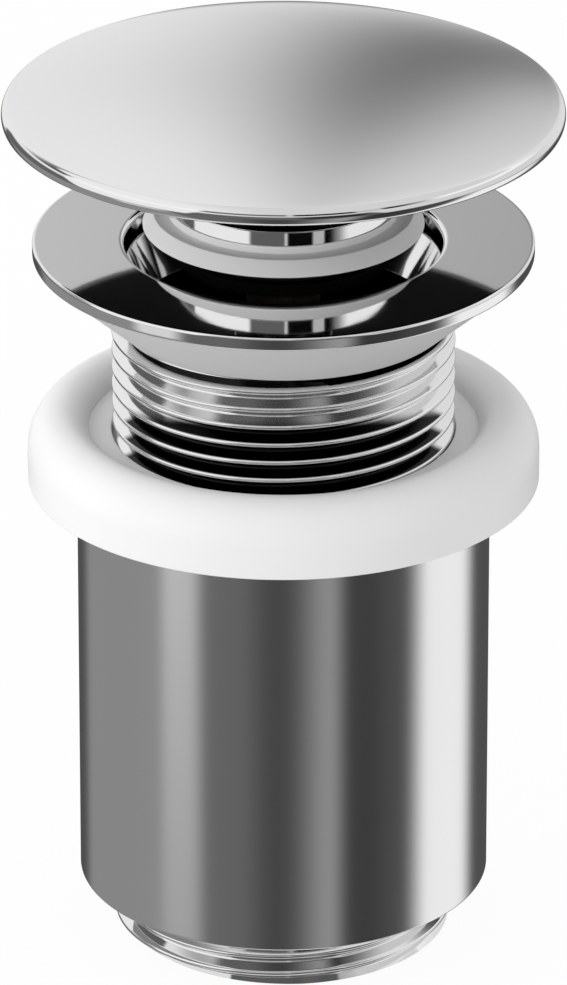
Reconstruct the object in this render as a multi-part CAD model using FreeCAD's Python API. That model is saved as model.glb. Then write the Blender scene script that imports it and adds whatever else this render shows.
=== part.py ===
"""Push-to-close basin waste with a mushroom cap, a G 1 1/4 tail and a sleeve body.

Millimetres, +Z up, origin at the centre of the outlet's bottom face. The cap is shown raised
(open) and the clamp stack stands at the height at which the waste is packed.
"""

import FreeCAD, Part
import math
import os

# Threads, shown plain at their crest radius

thread_radius = 20.955
thread_depth = 1.48
thread_slack = 0.05

# Outlet and sleeve, measured up from the outlet's bottom face

outlet_length = 7.14
outlet_wall = 2.175
outlet_chamfer = 0.65
outlet_undercut = 0.75
outlet_bore_length = 9.6
sleeve_length = 51.66
sleeve_wall = 2.3
socket_wall = 4.315
socket_length = 10.0
sleeve_rounding = 0.3

# Clamp stack that the sleeve carries up the tail

slip_washer_radius = 28.4
slip_washer_thickness = 1.2
gasket_radius = 31.33
gasket_wall = 3.8
gasket_height = 8.9
gasket_crest_radius = 26.9
gasket_land_radius = 23.9
gasket_land_height = 6.4
stack_bore_gap = 0.35
stack_gap = 31.2

# Flange, neck and tail, measured down from the flange's top face

flange_radius = 30.5
flange_rim = 1.76
flange_rounding = 0.35
lip_step = 2.2
lip_rounding = 0.55
seat_slope = 20.0
tail_wall = 2.275
neck_relief = 0.535
cone_seal_radius = 29.5
cone_seal_height = 8.0
cone_seal_lip = 0.25
neck_groove = 0.6
tail_depth = 50.0
tail_chamfer = 0.8

# Carrier cross pressed into the tail's lower end

carrier_socket_wall = 1.175
carrier_recess = 1.7
carrier_height = 6.0
carrier_rim = 2.0
carrier_arms = 4
carrier_arm_width = 3.0
carrier_hub_radius = 8.2
carrier_roof = 1.4

# Plug, levels above the flange's top face with the cap raised

plug_stroke = 10.0
seat_clearance = 0.35
collar_level = 4.78
collar_radius = 14.0
collar_height = 1.97
collar_spigot_radius = 9.9
collar_rounding = 0.1
seal_thickness = 5.38
seal_overlap = 0.1
seal_lip_drop = 2.73
seal_shoulder_step = 1.35
seal_shoulder_drop = 0.93
seal_hub_step = 3.2
seal_base_step = 5.1
seal_root_drop = 4.05
retainer_step = 4.1
retainer_thickness = 1.8
cap_level = 15.75
cap_radius = 34.07
cap_rim = 2.03
cap_rise = 5.97
cap_edge_step = 0.52
cap_foot_step = 0.45
cap_belly = 0.8
cap_wall = 1.4
boss_radius = 6.0
boss_length = 10.2
backing_gap = 0.12
backing_recess = 0.2
backing_edge = 0.45
backing_thickness = 1.35
backing_hub_radius = 9.0
backing_hub_height = 3.6
backing_ribs = 8
backing_rib_width = 1.2

# Stem and its cross pin

stem_radius = 4.5
stem_thread_radius = 3.0
stem_shoulder_radius = 6.5
stem_shoulder_height = 2.0
stem_end_below_pin = 3.2
stem_pocket_wall = 0.8
stem_top_gap = 0.4
pin_radius = 1.0
pin_end_gap = 0.35
stem_nut_flats = 10.0
stem_nut_height = 4.2

# Cartridge

running_gap = 0.05
barrel_radius = 9.2
barrel_lip = 1.0
barrel_floor = 2.0
track_radius = 8.3
track_gap = 0.12
clip_thickness = 1.0
clip_groove_radius = 8.0
clip_inner_radius = 6.2
clip_opening = 70.0
clip_eye_radius = 0.45
clip_ear_radius = 1.35
clip_ear_turn = 6.0
bush_height = 4.0
ring_wire = 0.7
ring_gap = 0.15
index_radius = 7.12
index_wall = 2.0
index_turn = 60.0
index_slot_slack = 0.6
slot_overcut = 0.8
index_end_land = 1.6
index_float = 0.1
thrust_washer_thickness = 1.0
barrel_gap = 0.08
shank_radius = 6.0
shank_length = 12.5
joint_washer_thickness = 0.8
lock_nut_flats = 17.0
lock_nut_height = 4.0
spring_wire = 0.45
spring_radius = 2.9
spring_turns = 10
spring_end_turns = 1.0
spring_end_gap = 0.02
spring_points = 12
spring_bore_gap = 0.45
end_plug_height = 2.5
end_plug_slot = 1.0

# Radii worked out from the sizes above

thread_root = thread_radius - thread_depth
outlet_bore = thread_root - outlet_wall
socket_radius = thread_radius + thread_slack
sleeve_radius = socket_radius + socket_wall
bore_radius = thread_root - tail_wall
lip_radius = bore_radius + lip_step
neck_radius = thread_radius - neck_relief
carrier_socket_radius = thread_root - carrier_socket_wall
seal_lip_radius = bore_radius + seal_overlap
seal_shoulder_radius = seal_lip_radius - seal_shoulder_step
seal_hub_radius = seal_lip_radius - seal_hub_step
seal_base_radius = seal_lip_radius - seal_base_step
retainer_radius = seal_lip_radius - retainer_step

# Levels worked out from the sizes above

sleeve_bottom = outlet_length
sleeve_top = sleeve_bottom + sleeve_length
gasket_base = sleeve_top + slip_washer_thickness
flange_top = gasket_base + stack_gap
flange_bottom = flange_top - flange_rim
cone_seal_bottom = flange_bottom - cone_seal_height
tail_bottom = flange_top - tail_depth
carrier_bottom = tail_bottom + carrier_recess
carrier_top = carrier_bottom + carrier_height
barrel_bottom = carrier_top + joint_washer_thickness
cavity_floor = barrel_bottom + barrel_floor
index_bottom = cavity_floor + thrust_washer_thickness + index_float
pin_end_room = pin_radius + pin_end_gap
collar_base = flange_top + collar_level
collar_top = collar_base + collar_height
seal_base = collar_base - seal_thickness
seal_edge = collar_base - seal_lip_drop
seal_root = collar_base - seal_root_drop
retainer_base = seal_base - retainer_thickness
stem_shoulder = retainer_base - stem_shoulder_height
cap_base = flange_top + cap_level
cap_apex = cap_base + cap_rim + cap_rise
cap_dome_radius = cap_radius - cap_edge_step
cap_crown = (cap_dome_radius ** 2 + cap_rise ** 2) / (2.0 * cap_rise)
shank_bottom = barrel_bottom - shank_length
spring_seat = shank_bottom + end_plug_height

# Helical track: the pin climbs plug_stroke while the index sleeve turns by index_turn

index_lead = plug_stroke * 360.0 / index_turn
index_middle = index_radius - index_wall / 2.0
track_climb = math.atan2(index_lead, 2.0 * math.pi * index_middle)
slot_width = 2.0 * pin_radius + index_slot_slack
slot_run_out = pin_end_room * math.sin(track_climb)
slot_corner = slot_width / 2.0 * math.cos(track_climb)
pin_to_index_end = slot_run_out + slot_corner + index_end_land
pin_closed = index_bottom + pin_to_index_end
pin_level = pin_closed + plug_stroke
index_top = pin_level + pin_to_index_end
bush_bottom = index_top + index_float
bush_top = bush_bottom + bush_height
barrel_top = bush_top + clip_thickness + barrel_lip
cavity_radius = index_radius + barrel_gap
pin_half_length = track_radius - pin_end_gap
stem_bottom = pin_level - stem_end_below_pin
stem_pocket_top = pin_level - pin_radius - stem_pocket_wall
spring_bore = spring_radius + spring_wire + spring_bore_gap
boss_bottom = cap_apex - cap_wall - boss_length
stem_top = cap_apex - 2.0 * cap_wall - stem_top_gap

# Drawing helpers


def point(r, z):
    """A place in the half section, r out from the axis and z up."""
    return FreeCAD.Vector(r, 0.0, z)


class Outline:
    """A closed half section, drawn from corner to corner and turned about Z into a solid.

    Each step is the stretch that arrives at its corner. A corner between two straight
    stretches can be rounded.
    """

    def __init__(self, r, z, rounding=0.0):
        self.steps = [("line", point(r, z), rounding, None)]

    def line(self, r, z, rounding=0.0):
        self.steps.append(("line", point(r, z), rounding, None))
        return self

    def arc(self, r, z, via):
        self.steps.append(("arc", point(r, z), 0.0, point(*via)))
        return self

    def swell(self, r, z, corner):
        """A quarter ellipse that bulges towards the square corner named."""
        self.steps.append(("swell", point(r, z), 0.0, point(*corner)))
        return self

    def trimmed(self, i):
        """Where corner i's rounding starts, its middle and where it ends."""
        kind, here, rounding, _ = self.steps[i]
        after = self.steps[(i + 1) % len(self.steps)]
        if rounding <= 0.0 or kind != "line" or after[0] != "line":
            return here, None, here
        back = self.steps[i - 1][1] - here
        ahead = after[1] - here
        half = back.getAngle(ahead) / 2.0
        trim = min(rounding / math.tan(half), 0.45 * back.Length, 0.45 * ahead.Length)
        radius = trim * math.tan(half)
        back.normalize()
        ahead.normalize()
        inward = (back + ahead).normalize()
        middle = here + inward * (radius / math.sin(half) - radius)
        return here + back * trim, middle, here + ahead * trim

    def edges(self):
        corners = [self.trimmed(i) for i in range(len(self.steps))]
        made = []
        for i, (kind, _, _, guide) in enumerate(self.steps):
            start = corners[i - 1][2]
            end, middle, leave = corners[i]
            if kind == "arc":
                made.append(Part.Arc(start, guide, end).toShape())
            elif kind == "swell":
                made.append(quarter_ellipse(start, end, guide))
            elif (end - start).Length > 1e-6:
                made.append(Part.LineSegment(start, end).toShape())
            if middle:
                made.append(Part.Arc(end, middle, leave).toShape())
        return made

    def solid(self):
        face = Part.Face(Part.Wire(self.edges()))
        return face.revolve(FreeCAD.Vector(), FreeCAD.Vector(0, 0, 1), 360.0)


def quarter_ellipse(start, end, corner):
    """A cubic that stays within a hair of the quarter ellipse inside the square corner."""
    reach = 0.5523
    curve = Part.BezierCurve()
    first = start + (corner - start) * reach
    second = end + (corner - end) * reach
    curve.setPoles([start, first, second, end])
    return curve.toShape()


def cylinder(radius, bottom, top):
    return Part.makeCylinder(radius, top - bottom, point(0.0, bottom))


def ring(inner, outer, bottom, top, rounding=0.0):
    """A plain ring with its four edges rounded alike."""
    outline = Outline(inner, bottom, rounding).line(outer, bottom, rounding)
    return outline.line(outer, top, rounding).line(inner, top, rounding).solid()


def slab(width, reach_in, reach_out, bottom, top):
    """A bar along +X, centred on the X axis."""
    corner = FreeCAD.Vector(reach_in, -width / 2.0, bottom)
    return Part.makeBox(reach_out - reach_in, width, top - bottom, corner)


def turned_to(shape, degrees):
    copy = shape.copy()
    copy.rotate(FreeCAD.Vector(), FreeCAD.Vector(0, 0, 1), degrees)
    return copy


def around(shape, count, first=0.0):
    """Copies of a shape, spaced evenly about Z."""
    return [turned_to(shape, first + 360.0 * i / count) for i in range(count)]


def hex_nut(flats, bore, bottom, height):
    """A hexagon nut whose corners are chamfered on both faces."""
    corner = flats / math.sqrt(3.0)
    corners = [turned_to(Part.Vertex(corner, 0, bottom), 60.0 * i).Point for i in range(7)]
    prism = Part.Face(Part.makePolygon(corners)).extrude(FreeCAD.Vector(0, 0, height))
    top = bottom + height
    drop = (corner - flats / 2.0) * math.tan(math.radians(30.0))
    rim = Outline(bore, bottom).line(flats / 2.0, bottom).line(corner, bottom + drop)
    rim = rim.line(corner, top - drop).line(flats / 2.0, top).line(bore, top)
    return prism.common(rim.solid())


# Tail sleeve and clamp stack


def tail_sleeve():
    """The outer body: a screwed socket at the top, a wide cup and the outlet nipple."""
    cup = sleeve_radius - sleeve_wall
    socket_bottom = sleeve_top - socket_length
    thread_start = outlet_length - outlet_undercut
    outline = Outline(socket_radius, sleeve_top)
    outline.line(sleeve_radius, sleeve_top, sleeve_rounding)
    outline.line(sleeve_radius, sleeve_bottom, sleeve_rounding)
    outline.line(thread_root, sleeve_bottom).line(thread_root, thread_start)
    outline.line(thread_radius, thread_start - thread_depth / 2.0)
    outline.line(thread_radius, outlet_chamfer)
    outline.line(thread_radius - outlet_chamfer, 0.0)
    outline.line(outlet_bore, 0.0, sleeve_rounding)
    outline.line(outlet_bore, outlet_bore_length)
    outline.line(cup, outlet_bore_length + cup - outlet_bore, 2.0)
    outline.line(cup, socket_bottom - (cup - socket_radius), 0.5)
    outline.line(socket_radius, socket_bottom)
    return outline.solid()


def slip_washer():
    """The slippery washer that lets the sleeve turn under the gasket."""
    bore = thread_radius + stack_bore_gap
    return ring(bore, slip_washer_radius, sleeve_top, gasket_base, 0.2)


def lower_gasket():
    """The thick soft ring: a flat inner land and a full rounded shoulder."""
    bore = thread_radius + stack_bore_gap
    land = gasket_base + gasket_land_height
    crest = gasket_base + gasket_height
    wall_top = gasket_base + gasket_wall
    outline = Outline(bore, gasket_base)
    outline.line(gasket_radius, gasket_base, 0.2)
    outline.line(gasket_radius, wall_top)
    outline.swell(gasket_crest_radius, crest, (gasket_radius, crest))
    outline.swell(gasket_land_radius, land, (gasket_land_radius, crest))
    outline.line(bore, land, 0.2)
    return outline.solid()


# Flange, its seal and the carrier cross


def flange_body():
    """Flange, closing seat, neck and screwed tail in one turned piece."""
    slope = math.tan(math.radians(seat_slope))
    closed_edge = seal_edge - plug_stroke
    seat_here = seal_lip_radius + seat_clearance
    seat_top = closed_edge + (lip_radius - seat_here) / slope
    seat_bottom = closed_edge - (seat_here - bore_radius) / slope
    groove_bottom = cone_seal_bottom - neck_groove
    outline = Outline(carrier_socket_radius, tail_bottom)
    outline.line(carrier_socket_radius, carrier_top).line(bore_radius, carrier_top)
    outline.line(bore_radius, seat_bottom, 1.0).line(lip_radius, seat_top, 1.0)
    outline.line(lip_radius, flange_top, lip_rounding)
    outline.line(flange_radius, flange_top, flange_rounding)
    outline.line(flange_radius, flange_bottom, flange_rounding)
    outline.line(neck_radius, flange_bottom).line(neck_radius, cone_seal_bottom)
    outline.line(thread_root, cone_seal_bottom).line(thread_root, groove_bottom)
    outline.line(thread_radius - tail_chamfer / 2.0, groove_bottom)
    outline.line(thread_radius, groove_bottom - tail_chamfer / 2.0)
    outline.line(thread_radius, tail_bottom + tail_chamfer)
    outline.line(thread_radius - tail_chamfer, tail_bottom)
    return outline.solid()


def flange_seal():
    """The cone that centres the waste in the basin's hole and seals under the flange."""
    outline = Outline(neck_radius, flange_bottom)
    outline.line(neck_radius, cone_seal_bottom)
    outline.line(neck_radius + cone_seal_lip, cone_seal_bottom)
    outline.line(cone_seal_radius, flange_bottom - cone_seal_lip).line(cone_seal_radius, flange_bottom)
    return outline.solid()


def cartridge_carrier():
    """The cross that holds the cartridge: a pressed-in rim, four roofed arms and a hub."""
    rim_inner = carrier_socket_radius - carrier_rim
    rim = ring(rim_inner, carrier_socket_radius, carrier_bottom, carrier_top)
    half = carrier_arm_width / 2.0
    eaves = carrier_top - carrier_roof
    start = (shank_radius + carrier_hub_radius) / 2.0
    reach = carrier_socket_radius - carrier_rim / 2.0 - start
    gable = [(-half, carrier_bottom), (half, carrier_bottom), (half, eaves), (0.0, carrier_top)]
    gable += [(-half, eaves), (-half, carrier_bottom)]
    loop = [FreeCAD.Vector(start, y, z) for y, z in gable]
    arm = Part.Face(Part.makePolygon(loop)).extrude(FreeCAD.Vector(reach, 0, 0))
    hub = cylinder(carrier_hub_radius, carrier_bottom, carrier_top)
    cross = rim.fuse([hub] + around(arm, carrier_arms, 180.0 / carrier_arms))
    hole = cylinder(shank_radius + running_gap, carrier_bottom, carrier_top)
    return cross.cut(hole).removeSplitter()


# Cartridge


def cartridge_barrel():
    """Barrel with a clip groove, two straight pin tracks and a screwed shank below."""
    groove_top = bush_top + clip_thickness
    outline = Outline(spring_bore, shank_bottom)
    outline.line(shank_radius - 0.5, shank_bottom).line(shank_radius, shank_bottom + 0.5)
    outline.line(shank_radius, barrel_bottom).line(barrel_radius, barrel_bottom, 0.3)
    outline.line(barrel_radius, barrel_top, 0.8).line(cavity_radius, barrel_top, 0.3)
    outline.line(cavity_radius, groove_top).line(clip_groove_radius, groove_top)
    outline.line(clip_groove_radius, bush_top).line(cavity_radius, bush_top)
    outline.line(cavity_radius, cavity_floor).line(spring_bore, cavity_floor)
    barrel = outline.solid()
    width = 2.0 * (pin_radius + track_gap)
    foot = pin_closed - pin_end_room
    slot = slab(width, cavity_radius - 0.5, track_radius, foot, barrel_top)
    return barrel.cut(around(slot, 2))


def joint_washer():
    """The fibre washer between the barrel's shoulder and the carrier's hub."""
    return ring(shank_radius + running_gap, barrel_radius, carrier_top, barrel_bottom)


def barrel_lock_nut():
    bore = shank_radius + running_gap
    return hex_nut(lock_nut_flats, bore, carrier_bottom - lock_nut_height, lock_nut_height)


def guide_bush():
    """The plastic bush that guides the stem, with a groove for its ring."""
    bore = stem_radius + running_gap
    middle = (bush_bottom + bush_top) / 2.0
    groove = stem_radius + ring_gap + 2.0 * ring_wire + running_gap
    half = ring_wire + running_gap
    outline = Outline(bore, bush_bottom).line(cavity_radius, bush_bottom, 0.3)
    outline.line(cavity_radius, bush_top, 0.3).line(bore, bush_top, 0.4)
    outline.line(bore, middle + half).line(groove, middle + half)
    outline.line(groove, middle - half).line(bore, middle - half)
    return outline.solid()


def stem_ring():
    """The round wiper ring in the guide bush."""
    middle = (bush_bottom + bush_top) / 2.0
    centre = stem_radius + ring_gap + ring_wire
    return Part.makeTorus(centre, ring_wire, point(0.0, middle))


def bush_clip():
    """The open spring clip over the bush, with two eyes for the pliers."""
    top = bush_top + clip_thickness
    clip = ring(clip_inner_radius, clip_groove_radius, bush_top, top)
    ear = cylinder(clip_ear_radius, bush_top, top)
    eye = cylinder(clip_eye_radius, bush_top, top)
    ears, eyes = [], []
    for side in (-1.0, 1.0):
        angle = 90.0 + side * (clip_opening / 2.0 + clip_ear_turn)
        place = point(clip_inner_radius, 0.0)
        ears.append(turned_to(ear.translated(place), angle))
        eyes.append(turned_to(eye.translated(place), angle))
    wedge = Part.makeCylinder(2.0 * clip_groove_radius, clip_thickness, point(0.0, bush_top),
                              FreeCAD.Vector(0, 0, 1), clip_opening)
    gap = turned_to(wedge, 90.0 - clip_opening / 2.0)
    body = clip.cut(gap).fuse(ears).cut(eyes)
    return body.common(cylinder(clip_groove_radius, bush_top, top)).removeSplitter()


def thrust_washer():
    """The washer that the index sleeve turns on."""
    inner = stem_radius + 0.6
    return ring(inner, cavity_radius, cavity_floor, cavity_floor + thrust_washer_thickness)


def helical_slot():
    """A screw-shaped cutter that crosses the wall; its top end meets the pin at rest."""
    rise = plug_stroke + 2.0 * slot_run_out
    start = -index_turn * (1.0 + slot_run_out / plug_stroke)
    track = Part.makeHelix(index_lead, rise, index_middle)
    across = FreeCAD.Vector(0.0, -math.sin(track_climb), math.cos(track_climb)) * (slot_width / 2.0)
    inside = point(index_radius - index_wall - slot_overcut, 0.0)
    outside = point(index_radius + slot_overcut, 0.0)
    corners = [inside - across, outside - across, outside + across, inside + across]
    section = Part.makePolygon(corners + corners[:1])
    cutter = Part.Wire(track.Edges).makePipeShell([section], True, True)
    return turned_to(cutter, start).translated(point(0.0, pin_closed - slot_run_out))


def index_sleeve():
    """The sleeve that the pin turns: two helical tracks, half a turn apart."""
    inner = index_radius - index_wall
    outline = Outline(inner, index_bottom).line(index_radius, index_bottom, 0.3)
    outline.line(index_radius, index_top, 0.3).line(inner, index_top)
    return outline.solid().cut(around(helical_slot(), 2))


def spring_end_plug():
    """The slotted screw that closes the shank and seats the spring."""
    body = cylinder(spring_bore, shank_bottom, spring_seat)
    slot = slab(end_plug_slot, -spring_bore, spring_bore, shank_bottom, shank_bottom + end_plug_slot)
    return body.cut(slot)


def spring_level(turn):
    """Height of the spring's wire after so many turns, with close turns at both ends."""
    end_lead = 2.0 * spring_wire + spring_end_gap
    height = stem_pocket_top - spring_seat - 2.0 * (spring_wire + spring_end_gap)
    free_turns = spring_turns - 2.0 * spring_end_turns
    free_lead = (height - 2.0 * spring_end_turns * end_lead) / free_turns
    lower = min(turn, spring_end_turns)
    upper = max(turn - spring_end_turns - free_turns, 0.0)
    return (lower + upper) * end_lead + (turn - lower - upper) * free_lead


def return_spring():
    """A compression spring from the end plug to the stem's pocket."""
    steps = spring_turns * spring_points
    bottom = spring_seat + spring_wire + spring_end_gap
    places = []
    for i in range(steps + 1):
        turn = i / spring_points
        angle = 2.0 * math.pi * turn
        z = bottom + spring_level(turn)
        places.append(FreeCAD.Vector(spring_radius * math.cos(angle), spring_radius * math.sin(angle), z))
    path = Part.BSplineCurve()
    path.interpolate(places)
    along = path.tangent(path.FirstParameter)[0]
    section = Part.Wire(Part.Circle(places[0], along, spring_wire).toShape())
    return Part.Wire(path.toShape()).makePipeShell([section], True, True)


# Plug


def plunger_stem():
    """The stem: cross hole and spring pocket below, shoulder and screwed end above."""
    outline = Outline(spring_bore, stem_bottom).line(stem_radius, stem_bottom)
    outline.line(stem_radius, stem_shoulder).line(stem_shoulder_radius, stem_shoulder, 0.3)
    outline.line(stem_shoulder_radius, retainer_base).line(stem_thread_radius, retainer_base)
    outline.line(stem_thread_radius, stem_top, 0.5).line(0.0, stem_top)
    outline.line(0.0, stem_pocket_top).line(spring_bore, stem_pocket_top)
    return outline.solid().cut(follower_pin())


def follower_pin():
    """The cross pin that runs in the barrel's tracks and turns the index sleeve."""
    pin = Outline(0.0, -pin_half_length).line(pin_radius, -pin_half_length, 0.3)
    pin = pin.line(pin_radius, pin_half_length, 0.3).line(0.0, pin_half_length).solid()
    pin.rotate(FreeCAD.Vector(), FreeCAD.Vector(0, 1, 0), 90.0)
    return pin.translated(point(0.0, pin_level))


def seal_retainer():
    """The washer that carries the seal ring from below."""
    bore = stem_thread_radius + running_gap
    outline = Outline(bore, retainer_base).line(retainer_radius, retainer_base, 0.8)
    outline.line(retainer_radius, seal_base, 0.3).line(bore, seal_base)
    return outline.solid()


def plug_seal_ring():
    """The soft ring that closes the bore: a sharp lip, a 45 degree flank and a hub."""
    shoulder = collar_base - seal_shoulder_drop
    outline = Outline(collar_spigot_radius, seal_base).line(seal_base_radius, seal_base, 0.3)
    outline.line(seal_base_radius, seal_root, 0.2)
    outline.line(seal_lip_radius, seal_edge, 0.15)
    outline.line(seal_shoulder_radius, shoulder, 0.15).line(seal_hub_radius, shoulder, 0.1)
    outline.line(seal_hub_radius, collar_base).line(collar_spigot_radius, collar_base)
    return outline.solid()


def plug_collar():
    """The bright collar over the seal ring, with the spigot that centres it."""
    bore = stem_thread_radius + running_gap
    outline = Outline(bore, seal_base).line(collar_spigot_radius, seal_base)
    outline.line(collar_spigot_radius, collar_base)
    outline.line(collar_radius, collar_base, collar_rounding)
    outline.line(collar_radius, collar_top, collar_rounding).line(bore, collar_top)
    return outline.solid()


def stem_lock_nut():
    bore = stem_thread_radius + running_gap
    return hex_nut(stem_nut_flats, bore, collar_top, stem_nut_height)


def dome_level(r, drop=0.0):
    """Height of the cap's dome, or of the surface that lies below it by drop."""
    return cap_apex - cap_crown + math.sqrt((cap_crown - drop) ** 2 - r ** 2)


def cap_dome():
    """The polished cap: a shallow dome, a full rounded rim and a screwed boss inside."""
    rim_top = cap_base + cap_rim
    inner = cap_radius - cap_wall
    bore = stem_thread_radius + running_gap
    thread_top = stem_top + stem_top_gap
    slope = cap_dome_radius / math.sqrt(cap_crown ** 2 - cap_dome_radius ** 2)
    corner = (cap_radius, rim_top - cap_edge_step * slope)
    outline = Outline(inner, cap_base).line(cap_radius - cap_foot_step, cap_base)
    outline.swell(cap_radius, cap_base + cap_belly, (cap_radius, cap_base))
    outline.swell(cap_dome_radius, rim_top, corner)
    outline.arc(0.0, cap_apex, (cap_dome_radius / 2.0, dome_level(cap_dome_radius / 2.0)))
    outline.line(0.0, thread_top).line(bore, thread_top).line(bore, boss_bottom)
    outline.line(boss_radius, boss_bottom, 0.4)
    outline.line(boss_radius, dome_level(boss_radius, cap_wall))
    middle = (boss_radius + inner) / 2.0
    outline.arc(inner, dome_level(inner, cap_wall), (middle, dome_level(middle, cap_wall)))
    return outline.solid()


def cap_backing():
    """The dark insert that closes the cap's underside, stiffened by radial ribs."""
    outer = cap_radius - cap_wall - backing_gap
    bore = boss_radius + backing_gap
    face = cap_base + backing_recess
    back = face + backing_thickness
    step = outer - 3.0
    outline = Outline(bore, face, 0.2).line(outer, face, 0.2).line(outer, face + backing_edge)
    outline.line(step, back).line(backing_hub_radius, back)
    outline.line(backing_hub_radius, back + backing_hub_height).line(bore, back + backing_hub_height)
    start = backing_hub_radius - 0.5
    root = face + backing_thickness / 2.0
    crest = back + backing_hub_height
    loop = [point(start, root), point(step, root), point(step, back), point(start, crest)]
    rib = Part.Face(Part.makePolygon(loop + loop[:1])).extrude(FreeCAD.Vector(0, backing_rib_width, 0))
    rib.translate(FreeCAD.Vector(0, -backing_rib_width / 2.0, 0))
    return outline.solid().fuse(around(rib, backing_ribs)).removeSplitter()


pieces = {
    "tail_sleeve": tail_sleeve,
    "slip_washer": slip_washer,
    "lower_gasket": lower_gasket,
    "flange_body": flange_body,
    "flange_seal": flange_seal,
    "cartridge_carrier": cartridge_carrier,
    "cartridge_barrel": cartridge_barrel,
    "joint_washer": joint_washer,
    "barrel_lock_nut": barrel_lock_nut,
    "guide_bush": guide_bush,
    "stem_ring": stem_ring,
    "bush_clip": bush_clip,
    "thrust_washer": thrust_washer,
    "index_sleeve": index_sleeve,
    "spring_end_plug": spring_end_plug,
    "return_spring": return_spring,
    "plunger_stem": plunger_stem,
    "follower_pin": follower_pin,
    "seal_retainer": seal_retainer,
    "plug_seal_ring": plug_seal_ring,
    "plug_collar": plug_collar,
    "stem_lock_nut": stem_lock_nut,
    "cap_dome": cap_dome,
    "cap_backing": cap_backing,
}

os.makedirs("parts", exist_ok=True)
for name, make in pieces.items():
    make().exportStep(f"parts/{name}.step")
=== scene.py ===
"""Looks for a push-to-close basin waste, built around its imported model.

The turned pieces that show are made again here as fine meshes with real screw threads, and
every piece gets its own finish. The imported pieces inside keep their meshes. Metres, +Z up.
"""

import math

import bmesh
import bpy
from bpy.props import FloatProperty, FloatVectorProperty, IntProperty, PointerProperty
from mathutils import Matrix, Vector


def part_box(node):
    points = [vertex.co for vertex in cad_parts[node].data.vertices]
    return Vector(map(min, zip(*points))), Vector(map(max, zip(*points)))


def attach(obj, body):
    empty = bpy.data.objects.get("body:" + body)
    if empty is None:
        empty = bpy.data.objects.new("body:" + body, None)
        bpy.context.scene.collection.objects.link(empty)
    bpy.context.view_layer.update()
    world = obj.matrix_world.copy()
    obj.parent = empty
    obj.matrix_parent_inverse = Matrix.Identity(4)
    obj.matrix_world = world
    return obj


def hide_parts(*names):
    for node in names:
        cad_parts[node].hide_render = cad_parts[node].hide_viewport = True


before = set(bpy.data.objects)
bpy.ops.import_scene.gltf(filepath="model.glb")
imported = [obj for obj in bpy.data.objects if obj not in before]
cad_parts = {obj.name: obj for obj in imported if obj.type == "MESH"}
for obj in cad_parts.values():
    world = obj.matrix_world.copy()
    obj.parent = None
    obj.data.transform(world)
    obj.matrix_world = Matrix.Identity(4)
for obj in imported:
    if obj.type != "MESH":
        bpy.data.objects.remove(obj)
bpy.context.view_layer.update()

bl_info = {
    "name": "Basin waste",
    "version": (1, 0, 0),
    "blender": (4, 5, 0),
    "location": "3D View > Sidebar > Basin waste",
    "description": "Builds and finishes a push-to-close basin waste",
    "category": "Object",
}

MM = 0.001
TURN = 2.0 * math.pi


def base_of(node):
    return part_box(node)[0].z


def top_of(node):
    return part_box(node)[1].z


def radius_of(node):
    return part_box(node)[1].x


# How finely the meshes are made

ROUND_STEP = math.radians(12.0)
ROUND_SHARE = 0.45
SWELL_STEPS = 14
DOME_STEPS = 28
SHARP_ANGLE = math.radians(34.0)
WELD_GAP = 0.001 * MM
SUPPORT_GAP = 0.12 * MM
LONG_RUN = 4.0 * SUPPORT_GAP

# Screw thread, as shares of its pitch: 55 degree flanks with rounded crests and roots

THREAD_ROUND = 0.137329
THREAD_DEPTH = 0.640327
ROUND_REACH = math.radians(62.5)
ROUND_SAMPLES = 7
CREST_END = THREAD_ROUND * math.sin(ROUND_REACH)
CREST_DROP = THREAD_ROUND * (1.0 - math.cos(ROUND_REACH))

# Cap and plug. Steps go in from a piece's widest radius, and drops go down from its top.

DOME_EDGE_RISE = 2.03 * MM
DOME_EDGE_STEP = 0.52 * MM
CAP_FOOT_STEP = 0.45 * MM
CAP_ROUNDING = 1.4 * MM
BACKING_RECESS = 0.2 * MM
BOSS_RADIUS = 6.0 * MM
BOSS_BORE = 3.05 * MM
BOSS_ROUNDING = 0.4 * MM
STEM_TOP_GAP = 0.4 * MM
COLLAR_HEIGHT = 1.97 * MM
COLLAR_SPIGOT = 9.9 * MM
COLLAR_ROUNDING = 0.1 * MM
SEAL_EDGE_DROP = 2.73 * MM
SEAL_EDGE_ROUNDING = 0.15 * MM
SEAL_SHOULDER_DROP = 0.93 * MM
SEAL_SHOULDER_STEP = 1.35 * MM
SEAL_HUB_STEP = 3.2 * MM
SEAL_HUB_ROUNDING = 0.1 * MM
SEAL_BASE_STEP = 5.1 * MM
SEAL_BASE_ROUNDING = 0.3 * MM
SEAL_ROOT_DROP = 4.05 * MM
SEAL_ROOT_ROUNDING = 0.2 * MM
# How far below the lip's edge the ring's painted shade starts
SEAL_SHADE_GAP = 0.1 * MM

# Flange and tail

THREAD_CREST = 20.955 * MM
THREAD_FLOOR = 1.48 * MM
THREAD_ROOT = THREAD_CREST - THREAD_FLOOR
FLANGE_RIM = 1.76 * MM
FLANGE_ROUNDING = 0.35 * MM
NECK_RELIEF = 0.535 * MM
NECK_RADIUS = THREAD_CREST - NECK_RELIEF
NECK_GROOVE = 0.6 * MM
TAIL_CHAMFER = 0.8 * MM
TAIL_TOP_CHAMFER = 0.4 * MM
TAIL_WALL = 2.275 * MM
LIP_STEP = 2.2 * MM
LIP_ROUNDING = 0.55 * MM
SEAT_BOTTOM_DROP = 9.19 * MM
SEAT_TOP_DROP = 3.14 * MM
SEAT_ROUNDING = 1.0 * MM
CONE_SEAL_LIP = 0.25 * MM

# Clamp stack, sleeve and outlet

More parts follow.
